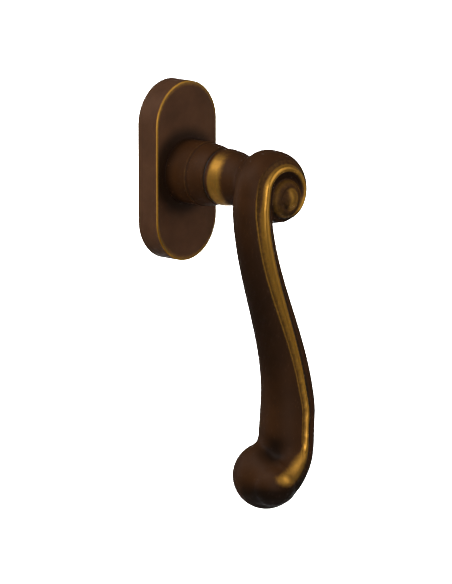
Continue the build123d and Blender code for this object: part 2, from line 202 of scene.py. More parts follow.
def tube_faces(rows, columns):
    """Grid faces with one flat face over each end."""
    last = (rows - 1) * columns
    ends = [list(range(columns)), list(range(last + columns - 1, last - 1, -1))]
    return grid_faces(rows, columns) + ends


def loop_faces(rows, columns):
    """Grid faces whose last row joins the first, as on a ring."""
    column = np.arange(columns)
    after = (column + 1) % columns
    last = (rows - 1) * columns
    seam = np.stack([last + column, last + after, after, column], axis=-1).tolist()
    return grid_faces(rows, columns) + seam


def new_mesh(name, points, faces):
    """A mesh whose faces point outwards: they are turned round if its volume comes out negative."""
    mesh = bpy.data.meshes.new(name)
    mesh.from_pydata(points, [], faces)
    mesh.calc_loop_triangles()
    corners = np.empty(3 * len(mesh.loop_triangles), dtype=np.int32)
    mesh.loop_triangles.foreach_get("vertices", corners)
    a, b, c = points[corners.reshape(-1, 3)].transpose(1, 0, 2)
    if np.einsum("ij,ij->i", a, np.cross(b, c)).sum() < 0:
        mesh.flip_normals()
    return mesh


def new_piece(name, mesh, body, nodes, sharp=35.0):
    """An object at the origin that rides on its body in place of its CAD nodes."""
    mesh.shade_smooth()
    mesh.set_sharp_from_angle(angle=math.radians(sharp))
    piece = bpy.data.objects.new(name, mesh)
    bpy.context.scene.collection.objects.link(piece)
    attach(piece, body)
    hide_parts(*nodes)
    return piece


def turned(radii, outs, columns, across=0.0, up=0.0):
    """Surface of revolution: each (radius, out) of the profile is carried round the spindle's direction."""
    angle = np.linspace(0, 2 * np.pi, columns, endpoint=False)
    radii, outs = np.asarray(radii)[:, None], np.asarray(outs)[:, None]
    return place(across + radii * np.cos(angle), outs, up + radii * np.sin(angle))


def step(low, high, value):
    """Smooth step: nought below low, one above high, and a cubic between them."""
    share = np.clip((value - low) / (high - low), 0, 1)
    return share * share * (3 - 2 * share)


def bell(distance, width):
    """Bell curve of a distance: one at nought, and 0.37 at the width."""
    return np.exp(-(distance / width) ** 2)


def arc(centre, radius, start, end, count):
    """Points of a profile's arc as radii and outs; angles in degrees, from outwards to the front."""
    angle = np.radians(np.linspace(start, end, count))
    return centre[0] + radius * np.cos(angle), centre[1] + radius * np.sin(angle)


def store(mesh, name, values):
    """Keep one number for each point of a mesh."""
    layer = mesh.attributes.new(name, "FLOAT", "POINT")
    layer.data.foreach_set("value", np.ascontiguousarray(values, dtype=np.float32))


def read_points(mesh):
    """All points of a mesh, in its own unit, as rows of three."""
    points = np.empty(3 * len(mesh.vertices))
    mesh.vertices.foreach_get("co", points)
    return points.reshape(-1, 3)


# ---------------- the lever's form, in millimetres

# Points round each closed form, the bar's stations and a ball's rows.
COLUMNS, BAR_STATIONS, BALL_ROWS = 96, 700, 64

# The volute's eye: its centre, the radii of its ring and its tip, how far the ring rises over the
# volute's floor and the tip over the head, and how deep the tip's dome is.
EYE_X, EYE_Z = 3.3, -5.5
EYE_RADIUS, EYE_TIP = 7.5, 4.3
EYE_RING_RISE, EYE_RISE, EYE_DOME = 3.0, 1.6, 2.6
EYE_ROUND = 0.85  # power of the cosine in its rounds: less than one fills their corners

# The head's back and front, the depth of its sunk floor, and the disc that the bar winds round: its
# radius and that of its front.
HEAD_BACK, HEAD_FRONT = 46.3, 60.5
FLOOR_DEPTH = 2.6
CORE_RADIUS, CORE_FRONT = 9.6, 9.1

# The spiral: its distance from the eye at the start and once closed, its angles in degrees there and at
# its sunk end, the power by which it closes, and how full its back is over the first part of the turn.
SPIRAL_OUTER, SPIRAL_INNER = 12.9, 6.9
SPIRAL_START, SPIRAL_CLOSED, SPIRAL_END = 150.0, -57.0, -103.0
SPIRAL_POWER = 1.6
HEAD_FULLNESS, HEAD_FULL_TURN = 0.2, 90.0

# The bar: its half-width at the volute's inner end, the power by which the shaft thickens, its middle,
# half a millimetre behind the head's, and how much deeper its back is than its front.
BAR_INNER = 3.3
BAR_POWER = 2.2
BAR_MIDDLE = (HEAD_BACK + HEAD_FRONT) / 2 - 0.5
BACK_EXTRA = 0.8

# The shaft's swing to either side, its top below the spindle, its drop, and the part of it that is used.
SHAFT_LEFT, SHAFT_RIGHT = 8.7, 11.4
SHAFT_TOP, SHAFT_DROP = 5.0, 85.0
SHAFT_FIRST, SHAFT_LAST = 0.035, 0.975

# The tail rolls up about the notch. Angles in degrees: where it starts to shrink, where it starts to
# close and where it ends. It swells first, then tapers, and its middle lifts outwards.
NOTCH_X, NOTCH_Z, NOTCH_GAP = -0.6, -102.0, 0.4
TAIL_ROUND, TAIL_CLOSE, TAIL_END = 46.0, 88.0, 125.0
TAIL_SWELL, TAIL_TAPER, TAIL_LIFT = 0.5, 0.20, 4.6

# Round forms of the rolled end: centre across, out and up, and radius.
BALL = (2.8, 49.3, -114.0), 13.0
HEEL = (2.2, 54.0, -115.6), 9.4
LOBE = (-1.9, 57.7, -115.6), 8.2

# The hollow over the ball, in the mesh's axes: centre, reach, depth, and the way in which the skin sinks.
HOLLOW = np.array([-0.4, -55.6, -104.0])
HOLLOW_REACH, HOLLOW_DEPTH = 4.6, 2.2
HOLLOW_INWARDS = np.array([0.52, 0.36, -0.78])

# The neck: distances from the wall with its radius there, over the bead, the waist and the flare.
BEAD_BACK = GLIDE_HIGH[1] + 0.1
NECK_PROFILE = [
    (BEAD_BACK, 10.75), (BEAD_BACK + 1.1, 10.95), (BEAD_BACK + 2.6, 11.1), (36.2, 10.45), (39.8, 9.5),
    (42.8, 9.0), (44.8, 9.5), (HEAD_BACK, 10.9), (48.8, 11.6),
]

# The rib on the front: how far its crown lies left of the shaft's middle, the length over which its
# bead narrows, its bead's share of full width on the head and at the foot, how much wider its cove is
# on the head, and the cove's share of full depth there.
RIB_SHIFT, RIB_LENGTH = 0.55, 105.0
HEAD_BEAD, FOOT_BEAD = 0.86, 0.40
HEAD_COVE, HEAD_COVE_DEPTH = 1.2, 0.45

# The worn patch on the rolled end: a short curve from the rib's foot over the end, its half-width at
# its ends and what the middle adds, and how far it is raised.
PATCH_CURVE = np.array([
    [10.1, -63.6, -98.0], [9.8, -64.0, -102.0], [8.0, -63.8, -105.6], [4.8, -64.2, -109.0],
    [0.2, -65.0, -111.8], [-4.6, -64.6, -112.6], [-8.0, -61.2, -111.4],
])
PATCH_WIDTH, PATCH_SWELL, PATCH_RISE = 0.9, 2.9, 0.35

# Gold left by wear, from nought to one: crown, cove on the head and its extra on the shaft, shoulder's
# edge, band round the neck, eye, patch on the tail, and all other high places.
CROWN_WEAR, COVE_WEAR, SHAFT_COVE_WEAR, EDGE_WEAR = 0.92, 0.20, 0.10, 0.50
BAND_WEAR, EYE_WEAR, PATCH_WEAR, HIGH_WEAR = 0.66, 0.62, 0.72, 0.12


def bar_line(top, foot):
    """The bar's centre line and size, evenly spaced from the volute's inner end to the tail.

    A spiral about the eye, then half a cosine wave down the shaft, then an arc about the notch,
    joined and softened so that the direction never jumps. Columns: across, up, half-width, front,
    back, and the extra fullness of the back; the last value is where the shaft begins."""
    angle = np.linspace(SPIRAL_END, SPIRAL_START, 200)
    turn = np.clip((SPIRAL_START - angle) / (SPIRAL_START - SPIRAL_CLOSED), 0, 1)
    sunk = np.clip((SPIRAL_CLOSED - angle) / (SPIRAL_CLOSED - SPIRAL_END), 0, 1)
    radius = SPIRAL_OUTER - (SPIRAL_OUTER - SPIRAL_INNER) * (turn ** SPIRAL_POWER + step(0, 1, turn)) / 2
    half = top - (top - BAR_INNER) * turn
    a = np.radians(angle)
    front = HEAD_FRONT - FLOOR_DEPTH * sunk
    back = np.full_like(a, HEAD_BACK)
    fuller = HEAD_FULLNESS * np.sin(np.pi * np.clip((SPIRAL_START - angle) / HEAD_FULL_TURN, 0, 1))
    volute = [EYE_X + radius * np.cos(a), EYE_Z + radius * np.sin(a), half, front, back, fuller]

    share = np.linspace(SHAFT_FIRST, SHAFT_LAST, 200)
    half = top + (foot - top) * share ** BAR_POWER
    middle, swing = (SHAFT_RIGHT - SHAFT_LEFT) / 2, (SHAFT_RIGHT + SHAFT_LEFT) / 2
    across = middle - swing * np.cos(np.pi * share)
    up = -SHAFT_TOP - share * SHAFT_DROP
    shaft = [across, up, half, BAR_MIDDLE + half, BAR_MIDDLE - half - BACK_EXTRA, np.zeros(200)]

    angle = np.linspace(0, TAIL_END, 90)
    turned_in = np.clip(angle - TAIL_ROUND, 0, None) / (TAIL_END - TAIL_ROUND)
    outline = 2 * foot + TAIL_SWELL * np.clip(angle / TAIL_ROUND, 0, 1)
    half = outline / 2 * (1 - TAIL_TAPER * turned_in)
    reach = outline - half + NOTCH_GAP
    closing = np.clip((angle - TAIL_CLOSE) / (TAIL_END - TAIL_CLOSE), 0, 0.995)
    half = half * np.sqrt(1 - closing ** 2)
    middle = BAR_MIDDLE + TAIL_LIFT * turned_in
    a = np.radians(angle)
    across, up = NOTCH_X + reach * np.cos(a), NOTCH_Z - reach * np.sin(a)
    tail = [across, up, half, middle + half, middle - half - BACK_EXTRA, np.zeros(90)]

    line = np.concatenate([np.stack(part, axis=1) for part in (volute, shaft, tail)])
    walked = np.append(0, np.cumsum(np.hypot(*np.diff(line[:, :2], axis=0).T)))
    even = np.linspace(0, walked[-1], BAR_STATIONS)
    line = np.stack([np.interp(even, walked, column) for column in line.T], axis=1)
    return even, soften(line, 7), walked[200]


def soften(line, width):
    """Each row of a line becomes a bell-weighted mean of its neighbours; the ends stay put."""
    reach = 3 * width
    weights = np.exp(-0.5 * (np.arange(-reach, reach + 1) / width) ** 2)
    weights /= weights.sum()
    start = 2 * line[0] - line[reach:0:-1]
    end = 2 * line[-1] - line[-2:-reach - 2:-1]
    padded = np.concatenate([start, line, end])
    return np.stack([np.convolve(column, weights, mode="valid") for column in padded.T], axis=1)


def bar_surface(line):
    """The bar: an ellipse in the plane across the line, carried along it.

    Where the line asks for a fuller back, the ellipse's back corners are pushed out."""
    across, up, half, front, back, fuller = line.T[:, :, None]
    dx, dz = np.gradient(line[:, 0]), np.gradient(line[:, 1])
    length = np.hypot(dx, dz)
    nx, nz = (-dz / length)[:, None], (dx / length)[:, None]
    angle = np.linspace(0, 2 * np.pi, COLUMNS, endpoint=False)
    rounder = 1 + fuller * np.abs(np.sin(2 * angle)) ** 1.5 * (np.sin(angle) < 0)
    side, lift = half * np.cos(angle) * rounder, (front - back) / 2 * np.sin(angle) * rounder
    return place(across + nx * side, (front + back) / 2 + lift, up + nz * side)


def neck_profile():
    """Bead, waist and flare of the neck, as one soft curve through a few radii."""
    outs, radii = np.array(NECK_PROFILE).T
    even = np.linspace(outs[0], outs[-1], 120)
    curve = soften(np.stack([np.interp(even, outs, radii), even], axis=1), 3)
    return curve[:, 0], curve[:, 1]


def eye_profile():
    """The eye's boss: a broad rounded ring, and a domed tip that stands up from it."""
    floor, front = HEAD_FRONT - FLOOR_DEPTH, HEAD_FRONT + EYE_RISE
    ring_top, dome_base = floor + EYE_RING_RISE, front - EYE_DOME
    turn = np.radians(np.linspace(0, 90, 14))
    ring_r = EYE_TIP + (EYE_RADIUS - EYE_TIP) * np.cos(turn) ** EYE_ROUND
    ring_o = floor + (ring_top - floor) * np.sin(turn)
    turn = np.radians(np.linspace(0, 88, 20))
    dome_r = EYE_TIP * np.cos(turn) ** EYE_ROUND
    dome_o = dome_base + (front - dome_base) * np.sin(turn)
    # The ring starts inside the head, and the dome's foot inside the ring.
    radii = np.concatenate([[EYE_RADIUS], ring_r, [EYE_TIP], dome_r])
    outs = np.concatenate([[HEAD_BACK + 4], ring_o, [ring_top - 0.3], dome_o])
    return radii, outs


def ball_surface(centre, radius):
    """A sphere by latitude and longitude, with small caps at its poles."""
    tilt = np.linspace(0.02, np.pi - 0.02, BALL_ROWS)
    return turned(radius * np.sin(tilt), centre[1] - radius * np.cos(tilt), COLUMNS, centre[0], centre[2])


def neighbour_sums(values, links):
    """For each point, the sum of a number over the points that edges join to it."""
    there = np.bincount(links[:, 0], values[links[:, 1]], len(values))
    return there + np.bincount(links[:, 1], values[links[:, 0]], len(values))


def neighbour_means(points, links):
    """For each point, the mean place of the points that edges join to it."""
    total = np.bincount(links.ravel(), minlength=len(points))
    return np.stack([neighbour_sums(column, links) / total for column in points.T], axis=1)


def relax(points, links, rounds):
    """Move each point towards its neighbours' mean, and a little further back, so nothing shrinks."""
    for turn in range(2 * rounds):
        pull = 0.5 if turn % 2 == 0 else -0.515
        points = points + pull * (neighbour_means(points, links) - points)
    return points


def blurred(values, links, rounds):
    """Average a number for each point with its neighbours', several times over."""
    total = np.bincount(links.ravel(), minlength=len(values)) + 1
    for _ in range(rounds):
        values = (values + neighbour_sums(values, links)) / total
    return values


def blurred_points(points, links, rounds):
    """Blur places as numbers are blurred."""
    return np.stack([blurred(column, links, rounds) for column in points.T], axis=1)


def nearest(points, line):
    """For each point, the number of the line's nearest station and the distance to it."""
    found, distance = np.empty(len(points), dtype=int), np.empty(len(points))
    for start in range(0, len(points), 4000):
        part = slice(start, start + 4000)
        squares = ((points[part, None, :] - line[None, :, :]) ** 2).sum(axis=2)
        found[part] = squares.argmin(axis=1)
        distance[part] = np.sqrt(squares.min(axis=1))
    return found, distance


def rib_relief(offset, bead, shoulder, cove):
    """Height of the rib above the plain bar, from the distance to its crown, right being above nought.

    The bead is an ellipse, about half as high as its half-width. Left of it, the cove is half an ellipse
    that reaches the shoulder; right of it, a slope goes down by a cubic and comes up again."""
    left, right = np.maximum(-offset, 0), np.maximum(offset, 0)
    crown = 0.48 * bead * np.sqrt(np.clip(1 - (offset / bead) ** 2, 0, 1))
    width = (shoulder - bead) / 2
    trough = np.sqrt(np.clip(1 - ((left - bead - width) / width) ** 2, 0, 1))
    slope = step(0.7 * bead, 1.2 * bead, right) * step(shoulder + 1.5, shoulder - 1.0, right)
    return crown - cove * np.minimum(width, 1.0) * np.maximum(trough, 0.6 * slope)


def cast_lever(settings):
    """The cast scroll: the bar, volute, neck and tail run into one skin, then the rib is raised on it."""
    top, foot = settings.top / MM, settings.foot / MM
    walked, line, shaft_start = bar_line(top, foot)
    floor = HEAD_FRONT - FLOOR_DEPTH
    core = turned(
        [0.2, CORE_RADIUS - 3.6, CORE_RADIUS - 1.2, CORE_RADIUS, CORE_FRONT + 0.3, CORE_FRONT, 0.2],
        [HEAD_BACK, HEAD_BACK, HEAD_BACK + 1.8, (HEAD_BACK + floor) / 2, floor - 1.0, floor, floor],
        COLUMNS, EYE_X, EYE_Z,
    )
    eye_r, eye_o = eye_profile()
    radii, outs = neck_profile()
    forms = [
        bar_surface(line[::2]), core, turned(eye_r, eye_o, COLUMNS, EYE_X, EYE_Z),
        turned(radii, outs, COLUMNS), ball_surface(*BALL), ball_surface(*HEEL), ball_surface(*LOBE),
    ]
    parts = [(form, tube_faces(len(form) // COLUMNS, COLUMNS)) for form in forms]
    skin = one_skin(parts, settings.grain)
    shape_skin(skin, walked, line, shaft_start, settings)
    return skin


def one_skin(parts, grain):
    """Run closed forms that overlap into one closed skin of even quads."""
    points, faces, start = [], [], 0
    for place_of, sides in parts:
        mesh = new_mesh("form", place_of, sides)
        points.append(read_points(mesh))
        faces += [[start + v for v in side.vertices] for side in mesh.polygons]
        start += len(place_of)
        bpy.data.meshes.remove(mesh)
    mesh = bpy.data.meshes.new("forms")
    mesh.from_pydata(np.concatenate(points), [], faces)
    forms = bpy.data.objects.new("forms", mesh)
    bpy.context.scene.collection.objects.link(forms)
    knit = forms.modifiers.new("one skin", "REMESH")
    knit.mode, knit.voxel_size, knit.adaptivity = "VOXEL", grain, 0.0
    seen = forms.evaluated_get(bpy.context.evaluated_depsgraph_get())
    skin = bpy.data.meshes.new_from_object(seen)
    bpy.data.objects.remove(forms)
    bpy.data.meshes.remove(mesh)
    return skin


def fill_creases(points, normals, links, rounds, where):
    """Round the inner corners: a point below its neighbours' mean is lifted towards it, others stay."""
    for _ in range(rounds):
        lift = np.einsum("ij,ij->i", neighbour_means(points, links) - points, normals)
        points = points + (np.clip(lift, 0, None) * where * 0.6)[:, None] * normals
    return points


def normals_of(skin, points):
    """Move a mesh to these points, given in millimetres, and read its points' normals."""
    skin.vertices.foreach_set("co", (points * MM).ravel())
    skin.update()
    normals = np.empty(3 * len(points))
    skin.vertices.foreach_get("normal", normals)
    return normals.reshape(-1, 3)


def shape_skin(skin, walked, line, shaft_start, settings):
    """Soften the joins, sink the hollow, raise the rib and the patch, and keep where it is worn, and where
    patina in its hollows and painted shade darken it.
    """
    links = np.empty(2 * len(skin.edges), dtype=np.int32)
    skin.edges.foreach_get("vertices", links)
    links = links.reshape(-1, 2)
    points = soften_joins(skin, relax(read_points(skin), links, 5) / MM, links)
    dent = HOLLOW_DEPTH * bell(np.linalg.norm(points - HOLLOW, axis=1), HOLLOW_REACH)
    points = relax(points + dent[:, None] * HOLLOW_INWARDS, links, 3)

    rib = rib_on_bar(points, walked, line, shaft_start, settings)
    points[:, 1] -= rib["relief"]
    patch = tail_patch(points)
    points = points + (PATCH_RISE * patch)[:, None] * normals_of(skin, points)
    points = relax(points, links, 1)
    normals = normals_of(skin, points)

    # How far each point lies below the blurred skin round it: fine hollows, then broad ones.
    around = blurred_points(points, links, 14)
    hollow = np.einsum("ij,ij->i", around - points, normals)
    wide = blurred_points(around, links, 60)
    deep_hollow = np.einsum("ij,ij->i", wide - points, normals)
    store(skin, "wear", blurred(worn_places(points, rib, patch, hollow), links, 1))
    store(skin, "shade_and_patina", blurred(patina_and_painted_shade(points, normals, rib, hollow, deep_hollow), links, 2))


def soften_joins(skin, points, links):
    """Fill the creases of the tail, and less of the neck, and smooth the underside of the rolled end."""
    _, y, z = points.T
    at_tail = step(-96, -102, z) * (0.55 + 0.45 * step(-114, -120, z))
    at_neck = step(50, 47, -y) * (z > -14)
    where = np.maximum(at_tail, 0.25 * at_neck)
    for _ in range(5):
        points = fill_creases(points, normals_of(skin, points), links, 55, where)
    at_sole = step(-113, -120, points[:, 2])[:, None]
    return points + at_sole * (relax(points, links, 90) - points)


def rib_on_bar(points, walked, line, shaft_start, settings):
    """Where each point lies on the bar, and the rib's measures and relief there.

    The nearest station of the bar's line gives the distance along the bar; the distance across it is
    measured at right angles to the line, positive to the right. The rib lies where the point is within
    about a millimetre of the bar's front, and it fades out at both ends of the bar."""
    station, _ = nearest(points[:, [0, 2]], line[:, :2])
    dx, dz = np.gradient(line[:, 0])[station], np.gradient(line[:, 1])[station]
    gap_x, gap_z = (points[:, [0, 2]] - line[station, :2]).T
    across = (-dz * gap_x + dx * gap_z) / np.hypot(dx, dz)
    half, front = line[station, 2], line[station, 3]
    deep = (front - line[station, 4]) / 2
    out = -points[:, 1]
    front_out = front - deep * (1 - np.sqrt(np.clip(1 - (across / half) ** 2, 0, 1)))
    along = walked[station] - shaft_start
    down = np.clip(along / RIB_LENGTH, 0, 1)
    on_shaft = step(-6, 12, along)
    fit = np.minimum(1, half / (settings.top / MM))
    across = across + RIB_SHIFT * on_shaft * step(0.82, 0.68, down)
    share = HEAD_BEAD + (1 - HEAD_BEAD) * on_shaft - (1 - FOOT_BEAD) * step(0.10, 0.75, down)
    bead = fit * settings.bead / MM * share
    shoulder = bead + fit * (settings.shoulder / MM + HEAD_COVE * (1 - on_shaft))
    here = step(1.3, 0.6, np.abs(out - front_out)) * (deep > 0)
    here = here * step(2, 12, walked[station]) * step(104, 92, along)
    lipped = step(-16, 2, along)
    cove = settings.cove / MM * (HEAD_COVE_DEPTH + (1 - HEAD_COVE_DEPTH) * lipped)
    return {
        "relief": rib_relief(across, bead, shoulder, cove) * here,
        "crown": step(1.25, 0.85, -across / bead) * step(1.10, 0.20, across / bead) * here,
        "cove": step(shoulder + 0.3, shoulder - 0.5, -across) * (across < 0) * here,
        "edge": bell(-across - shoulder - 0.1, 0.40) * here * lipped,
        "on shaft": on_shaft,
        "out": out,
    }


def worn_places(points, rib, patch, hollow):
    """Gold of each point: the rib, a band round the neck's bead that is dimmer on top and on the right,
    the eye's ring and the right of its tip, the patch, and other high places."""
    out, crown = rib["out"], rib["crown"]
    x, _, z = points.T
    on_neck = (out < 45) & (np.hypot(x, z) < 12.5)
    round_neck = np.degrees(np.arctan2(z, -x))
    band = step(30.2, 32.2, out) * step(39.0, 34.6, out) * on_neck
    band = band * (1 - 0.85 * step(35, 80, round_neck)) * (0.35 + 0.65 * step(170, 110, np.abs(round_neck)))
    from_eye = np.hypot(x - EYE_X, z - EYE_Z)
    right_half = step(-2.2, 1.2, x - EYE_X)
    tip = step(HEAD_FRONT - 0.4, HEAD_FRONT + 0.8, out) * step(EYE_TIP + 0.5, EYE_TIP - 0.3, from_eye)
    boss = (out > HEAD_FRONT - 3) * step(EYE_RADIUS + 0.4, EYE_RADIUS - 0.4, from_eye)
    ring_edge = bell(from_eye - EYE_RADIUS + 0.5, 0.6) * (out > HEAD_FRONT - 2.4)
    eye = right_half * tip + 0.22 * boss + 0.25 * ring_edge
    wear = CROWN_WEAR * crown + (COVE_WEAR + SHAFT_COVE_WEAR * rib["on shaft"]) * rib["cove"] * (1 - crown)
    wear = wear + EDGE_WEAR * rib["edge"] + BAND_WEAR * band + EYE_WEAR * eye + PATCH_WEAR * patch
    return np.clip(wear + HIGH_WEAR * step(0.06, 0.20, -hollow) * (1 - on_neck), 0, 1)


def patina_and_painted_shade(points, normals, rib, hollow, deep_hollow):
    """Darkness of each point: darker patina and painted shade in fine and broad hollows, less of them near
    the eye and in the cove; painted shade on the undersides of the head and the rolled end, and in the hollow
    over the ball."""
    out = rib["out"]
    x, _, z = points.T
    from_eye = np.hypot(x - EYE_X, z - EYE_Z)
    near_eye = step(12.5, 9.0, from_eye) * (out > HEAD_BACK + 5)
    creases = step(0.02, 0.16, hollow) + 0.8 * step(0.25, 1.2, deep_hollow)
    # Painted shade: darker where the skin faces down behind the head's back, and towards the bottom of the
    # rolled end.
    under = step(0.20, -0.45, normals[:, 2]) * step(HEAD_BACK, HEAD_BACK + 3, out)
    sole = step(-109, -119, z) * step(50, 58, out)
    shade_and_patina = creases * (1 - 0.8 * near_eye) * (1 - 0.6 * rib["cove"]) + 0.9 * under + 0.6 * sole
    # Painted shade in the hollow over the ball.
    shade_and_patina = shade_and_patina + 0.95 * bell(np.linalg.norm(points - HOLLOW, axis=1), 6.0)
    return np.clip(shade_and_patina, 0, 1)


def tail_patch(points):
    """Worn place where the rib runs over the rolled end: nearness to a short curve across it.

    The patch's half-width swells by a power of a sine along the curve, and its left end fades."""
    share = np.linspace(0, 1, 90)
    knots = np.linspace(0, 1, len(PATCH_CURVE))
    line = np.stack([np.interp(share, knots, column) for column in PATCH_CURVE.T], axis=1)
    station, distance = nearest(points, soften(line, 5))
    along = share[station]
    width = PATCH_WIDTH + PATCH_SWELL * np.sin(np.pi * along / 1.15) ** 1.5
    return step(1.40, 0.10, distance / width) * step(1.0, 0.80, along)


# ---------------- the other dressed pieces

def lever_journal():
    """Journal and tenon behind the bead, turned, with a groove for the ring.

    The two rows of the tenon are cut to a square: no point lies further out than the square's side."""
    journal, groove, half_tenon = 6.5, 5.8, 4.8
    back, front = RING_LOW[1] - 0.05, RING_HIGH[1] + 0.05  # the groove is a little wider than the ring
    shoulder = CAM_HIGH[1] + 0.15
    outs = np.array([CAM_LOW[1], shoulder, shoulder, back, back, front, front, BEAD_BACK + 2])[:, None]
    radii = np.array([journal] * 4 + [groove] * 2 + [journal] * 2)[:, None]
    angle = np.linspace(0, 2 * np.pi, 96, endpoint=False)[None, :]
    square = half_tenon / np.maximum(np.abs(np.cos(angle)), np.abs(np.sin(angle)))
    on_tenon = (np.arange(len(outs)) < 2)[:, None]
    radius = np.where(on_tenon, np.minimum(radii, square), radii)
    points = place(radius * np.cos(angle), outs, radius * np.sin(angle))
    return new_mesh("lever_journal", points, tube_faces(len(outs), 96))


def collar_mesh(settings):
    """Turned collar: its profile of radius against distance from the wall, carried round the spindle.

    From the wall: a rounded foot, a straight drum, the fine step, and a taper with a sine's belly down
    to a rounded lip. Over the step it narrows by a cubic, with a bell-shaped ridge and then a groove."""
    radius, back, front = COLLAR_HIGH[0], COLLAR_LOW[1], COLLAR_HIGH[1]
    step_out, width = settings.step_out / MM, settings.step / MM
    nose, bore = settings.nose / MM, settings.bore / MM
    drum = radius - width / 2
    foot_r, foot_o = arc((radius - 0.3, back + 0.3), 0.3, -90, 0, 5)
    side = np.linspace(back + 0.4, step_out - 1.1, 12)
    across_step = np.linspace(step_out - 1.0, step_out + 0.62, 24)
    ridge = 0.30 * bell(across_step - step_out + 0.1, 0.36)
    groove = 0.14 * bell(across_step - step_out - 0.5, 0.22)
    narrowed = 0.32 * step(step_out - 1.0, step_out + 0.6, across_step)
    step_r = np.minimum(radius - narrowed + ridge - groove, radius)
    taper = np.linspace(step_out + width, front - 0.5, 24)
    share = (taper - taper[0]) / (taper[-1] - taper[0])
    taper_r = drum + (nose + 0.25 - drum) * share + 0.35 * np.sin(np.pi * share)
    lip_r, lip_o = arc((nose - 0.3, front - 0.4), 0.4, 20, 90, 6)
    radii = np.concatenate([[bore], foot_r, np.full(12, radius - 0.12), step_r, taper_r, lip_r, [bore]])
    outs = np.concatenate([[back], foot_o, side, across_step, taper, lip_o, [front]])
    mesh = new_mesh("collar_turned", turned(radii, outs, 192), loop_faces(len(radii), 192))
    out = np.repeat(outs, 192)
    # Worn on the ridge and the lip; darker patina and painted shade in the groove after the step, and painted
    # shade towards the rose and under the lever.
    wear = 0.17 * bell(out - step_out + 0.1, 0.45) + 0.10 * step(front - 0.9, front - 0.3, out)
    shade_and_patina = 0.4 * bell(out - step_out - 0.55, 0.5) + 0.9 * step(back + 5.5, back - 0.5, out)
    shade_and_patina = shade_and_patina + 0.5 * step(front - 0.8, front - 0.1, out)
    store(mesh, "wear", wear)
    store(mesh, "shade_and_patina", np.clip(shade_and_patina, 0, 1))
    return mesh


def rose_mesh(settings):
    """Cast cap: an obround's offset lines carried over the back rim, side, rounded edge and face.

    Each column has a direction and a place on the obround's spine; each row has an offset from the
    spine and a distance from the wall, and the rows of the face close in on the round hub hole."""
    radius, height, depth = ROSE_HIGH[0], ROSE_HIGH[2], ROSE_HIGH[1]
    wall, edge, hole = settings.wall / MM, settings.edge / MM, settings.hole / MM
    rim = 0.25  # radius of the back rim's outer corner
    spine = height - radius
    ends, sides = 64, 32  # columns on each round end and each straight side
    bend = np.linspace(0, np.pi, ends)
    straight = np.linspace(spine, -spine, sides + 2)[1:-1]
    angle = np.concatenate([bend, np.full(sides, np.pi), bend + np.pi, np.full(sides, 2 * np.pi)])
    middle = np.concatenate([np.full(ends, spine), straight, np.full(ends, -spine), -straight])

    inner, shoulder = radius - wall, radius - edge
    rim_r, rim_o = arc((radius - rim, rim), rim, -90, 0, 5)
    edge_r, edge_o = arc((shoulder, depth - edge), edge, 0, 90, 10)
    side = np.linspace(0.6, depth - edge - 0.2, 8)
    face = np.linspace(0, 1, 22)[1:] ** 0.8
    offsets = [[inner, inner], rim_r, np.full(8, radius), edge_r, np.full(22, shoulder)]
    outs = [[depth - wall, 0.0], rim_o, side, edge_o, np.full(21, depth), [depth - wall]]
    offsets, outs = np.concatenate(offsets)[:, None], np.concatenate(outs)[:, None]
    share = np.concatenate([np.zeros(len(outs) - 22), face, [1.0]])[:, None]
    across, up = offsets * np.cos(angle), middle + offsets * np.sin(angle)
    to_rim = np.hypot(across[-1], up[-1])
    across = across * (1 - share) + share * hole * across[-1] / to_rim
    up = up * (1 - share) + share * hole * up[-1] / to_rim
    mesh = new_mesh("rose_cap", place(across, outs, up), loop_faces(len(outs), len(angle)))

    # Worn along the front edge, most where it leans 62 degrees; a painted shadow on the face round the collar,
    # reaching further to the left.
    x, y, z = read_points(mesh).T / MM
    out = -y
    off_spine = np.hypot(x, np.clip(np.abs(z) - spine, 0, None)) - radius
    corner = np.hypot(np.clip(off_spine + edge, 0, None), np.clip(out - depth + edge, 0, None))
    on_edge = (off_spine > -edge - 0.05) & (out > depth - edge - 0.05)
    lean = np.arctan2(np.clip(out - depth + edge, 0, edge), np.clip(off_spine + edge, 1e-6, edge))
    store(mesh, "wear", on_edge * bell(np.degrees(lean) - 62, 32) * step(0.5 * edge, 0.9 * edge, corner))
    store(mesh, "shade_and_patina", 0.97 * step(19.5, 13.4, np.hypot(x + 1.8, z)) * (out > depth - 0.05))
    return mesh


# ---------------- materials

# The oxide is uneven: spacing in millimetres of its wide clouds and of its fine mottle.
CLOUDS, MOTTLE = 11.765, 1.4286


def linear(hex_colour):
    """Linear colour from an sRGB hex value."""
    srgb = np.array([int(hex_colour[k:k + 2], 16) for k in (1, 3, 5)]) / 255
    value = np.where(srgb <= 0.04045, srgb / 12.92, ((srgb + 0.055) / 1.055) ** 2.4)
    return (*value.tolist(), 1.0)


def add(tree, kind, settings=None, links=None):
    """Add a node, set its properties and sockets, and link its inputs."""
    node = tree.nodes.new(kind)
    for name, value in (settings or {}).items():
        if isinstance(name, str) and hasattr(node, name):
            setattr(node, name, value)
        else:
            node.inputs[name].default_value = value
    for socket, source in (links or {}).items():
        tree.links.new(source, node.inputs[socket])
    return node


def new_material(name):
    """A material that holds only its output and a Principled shader."""
    material = bpy.data.materials.new(name)
    material.use_nodes = True
    tree = material.node_tree
    tree.nodes.clear()
    output = tree.nodes.new("ShaderNodeOutputMaterial")
    shader = tree.nodes.new("ShaderNodeBsdfPrincipled")
    tree.links.new(shader.outputs["BSDF"], output.inputs["Surface"])
    return material, tree, shader


def feed(tree, shader, sources):
    """Link an output to each of the shader's sockets that are named."""
    for socket, source in sources.items():
        tree.links.new(source, shader.inputs[socket])


